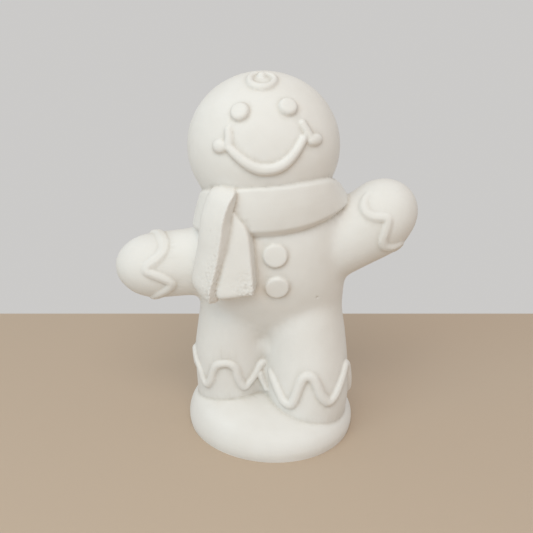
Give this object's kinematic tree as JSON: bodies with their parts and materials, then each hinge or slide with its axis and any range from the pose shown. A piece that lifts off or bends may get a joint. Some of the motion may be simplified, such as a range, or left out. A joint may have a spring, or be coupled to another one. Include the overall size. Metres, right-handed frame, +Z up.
{
  "type": "gingerbread man figurine",
  "caption": "Unglazed white ceramic gingerbread man with a scarf and raised icing lines, on a low round mound with a flat underside; a shelf ornament or a blank to paint.",
  "frame": {"origin": "centre of the round flat underside of the mound, on the surface that the figurine stands on", "axes": "+Z up, +X to the side of the raised arm (the right side in a front view), -Y the way the figure faces"},
  "size_m": [0.131, 0.0777, 0.1614],
  "materials": {
    "bisque": "matte, unglazed, fine-grained"
  },
  "bodies": {
    "root": {"gingerbread_figurine": "bisque"}
  },
  "joints": []
}
